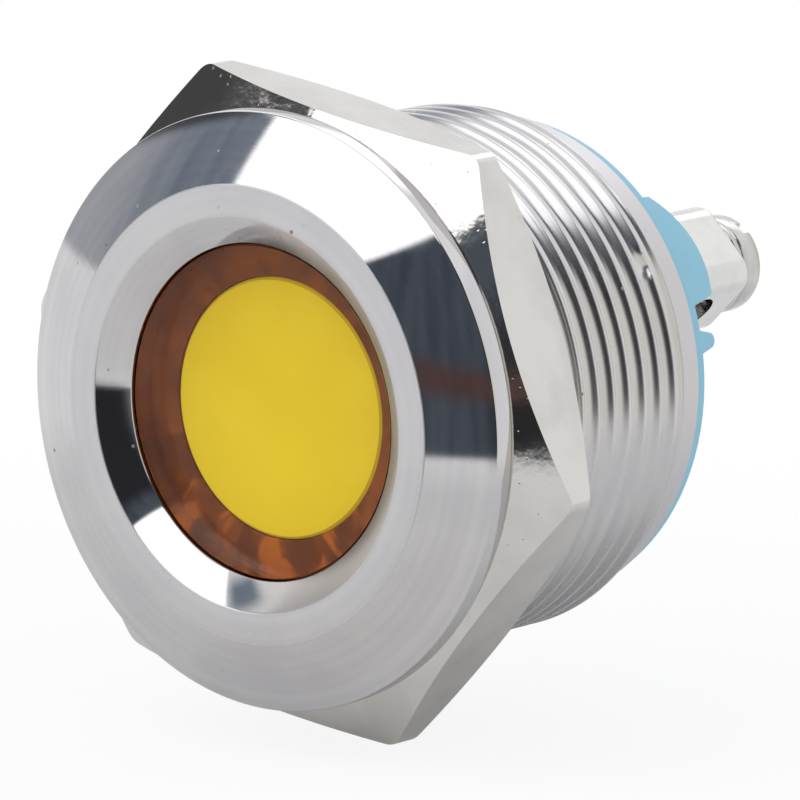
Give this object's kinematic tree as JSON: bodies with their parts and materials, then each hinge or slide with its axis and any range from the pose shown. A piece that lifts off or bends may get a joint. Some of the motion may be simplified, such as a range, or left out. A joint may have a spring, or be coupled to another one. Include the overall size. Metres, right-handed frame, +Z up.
{
  "type": "panel pilot light",
  "caption": "Flush metal panel pilot light with an amber and yellow round lens, threaded barrel, hexagon fixing nut and screw terminals at the back.",
  "frame": {"origin": "middle of the flange's back face, where it seats on the panel", "axes": "+Y along the axis to the rear of the panel, the lens faces -Y, +Z up"},
  "size_m": [0.0282, 0.0236, 0.027],
  "materials": {
    "bezel_metal": "nickel-plated turned brass, polished cone and bevel, satin face ring",
    "nut_metal": "nickel-plated, flats drawn, chamfers turned",
    "seal_rubber": "matt black",
    "lens_amber": "clear amber, polished face",
    "diffuser_yellow": "opaque yellow, satin",
    "cup_white": "white, satin",
    "board_green": "green solder mask",
    "led_body": "white package, yellow window",
    "component_black": "matt black moulding",
    "capacitor_can": "satin",
    "base_blue": "light blue, satin moulding",
    "post_metal": "bright nickel plate",
    "screw_metal": "nickel plate",
    "lead_red": "red insulation",
    "lead_black": "black insulation"
  },
  "bodies": {
    "light": {"bezel_housing": "bezel_metal", "panel_seal": "seal_rubber", "lens": "lens_amber", "lens_seal": "seal_rubber", "diffuser": "diffuser_yellow", "reflector_cup": "cup_white", "led_board": "board_green", "led_chips": "led_body", "resistors": "component_black", "rectifier": "component_black", "capacitor": "capacitor_can", "rear_base": "base_blue", "terminal_post_a": "post_metal", "terminal_post_b": "post_metal", "lead_wire_a": "lead_red", "lead_wire_b": "lead_black"},
    "nut": {"hex_nut": "nut_metal"},
    "washer_a": {"terminal_washer_a": "screw_metal"},
    "screw_a": {"terminal_screw_a": "screw_metal"},
    "washer_b": {"terminal_washer_b": "screw_metal"},
    "screw_b": {"terminal_screw_b": "screw_metal"}
  },
  "joints": [
    {"name": "nut_travel", "type": "slide", "parent": "light", "child": "nut", "axis": [0, 1, 0], "range_m": [0, 0.008]},
    {"name": "washer_a_lift", "type": "slide", "parent": "light", "child": "washer_a", "axis": [0, 1, 0], "range_m": [0, 0.0018]},
    {"name": "screw_a_turn", "type": "hinge", "parent": "washer_a", "child": "screw_a", "pos_m": [0.00603, 0.02006, 0.00378], "axis": [0, 1, 0], "range_deg": [0, 1440]},
    {"name": "washer_b_lift", "type": "slide", "parent": "light", "child": "washer_b", "axis": [0, 1, 0], "range_m": [0, 0.0018]},
    {"name": "screw_b_turn", "type": "hinge", "parent": "washer_b", "child": "screw_b", "pos_m": [-0.00603, 0.02006, -0.00378], "axis": [0, 1, 0], "range_deg": [0, 1440]}
  ],
  "couplings": [
    {"joint": "screw_a_turn", "follows": "washer_a_lift", "rad_per_m": 13962},
    {"joint": "screw_b_turn", "follows": "washer_b_lift", "rad_per_m": 13962}
  ]
}
